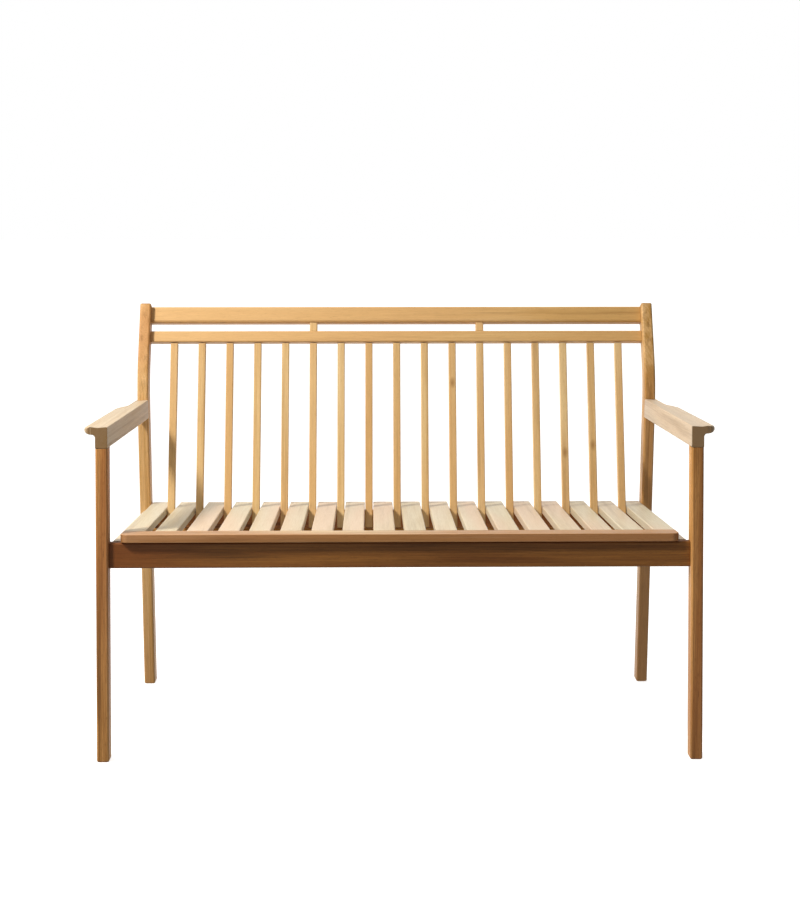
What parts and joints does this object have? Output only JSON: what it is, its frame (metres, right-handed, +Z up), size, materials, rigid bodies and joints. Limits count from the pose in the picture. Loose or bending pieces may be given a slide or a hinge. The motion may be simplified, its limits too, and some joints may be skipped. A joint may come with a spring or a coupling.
{
  "type": "garden bench",
  "caption": "Two-seat slatted hardwood garden bench with front-to-back seat slats, spindle back and moulded arms; fixed, does not fold.",
  "frame": {"origin": "on the ground, in the middle of the bench's width and depth", "axes": "+Z up, +X from the bench's left to its right as seen from the front, the front faces -Y"},
  "size_m": [1.2184, 0.6025, 0.8573],
  "materials": {
    "teak_frame": "planed and sanded teak, unfinished, warm mid brown",
    "teak_seat": "planed and sanded teak, pale cream on the seat slats and strip",
    "teak_back": "planed and sanded teak, golden on the rails and spindles",
    "teak_arm": "shaped and sanded teak, pale on the arms",
    "stainless_steel": "satin stainless steel bolts"
  },
  "bodies": {
    "root": {"arm_left": "teak_arm", "arm_right": "teak_arm", "back_post_left": "teak_frame", "back_post_right": "teak_frame", "back_rail": "teak_back", "back_spacer_1": "teak_back", "back_spacer_2": "teak_back", "back_spindle_01": "teak_back", "back_spindle_02": "teak_back", "back_spindle_03": "teak_back", "back_spindle_04": "teak_back", "back_spindle_05": "teak_back", "back_spindle_06": "teak_back", "back_spindle_07": "teak_back", "back_spindle_08": "teak_back", "back_spindle_09": "teak_back", "back_spindle_10": "teak_back", "back_spindle_11": "teak_back", "back_spindle_12": "teak_back", "back_spindle_13": "teak_back", "back_spindle_14": "teak_back", "back_spindle_15": "teak_back", "back_spindle_16": "teak_back", "back_spindle_17": "teak_back", "crest_rail": "teak_back", "front_apron": "teak_frame", "front_bolt_left": "stainless_steel", "front_bolt_right": "stainless_steel", "front_leg_left": "teak_frame", "front_leg_right": "teak_frame", "rear_bolt_left": "stainless_steel", "rear_bolt_right": "stainless_steel", "seat_front_bearer": "teak_frame", "seat_front_strip": "teak_seat", "seat_middle_bearer": "teak_frame", "seat_rear_rail": "teak_frame", "seat_side_rail_left": "teak_frame", "seat_side_rail_right": "teak_frame", "seat_slat_01": "teak_seat", "seat_slat_02": "teak_seat", "seat_slat_03": "teak_seat", "seat_slat_04": "teak_seat", "seat_slat_05": "teak_seat", "seat_slat_06": "teak_seat", "seat_slat_07": "teak_seat", "seat_slat_08": "teak_seat", "seat_slat_09": "teak_seat", "seat_slat_10": "teak_seat", "seat_slat_11": "teak_seat", "seat_slat_12": "teak_seat", "seat_slat_13": "teak_seat", "seat_slat_14": "teak_seat", "seat_slat_15": "teak_seat", "seat_slat_16": "teak_seat", "seat_slat_17": "teak_seat", "seat_slat_18": "teak_seat", "spindle_rail": "teak_frame"}
  },
  "joints": []
}
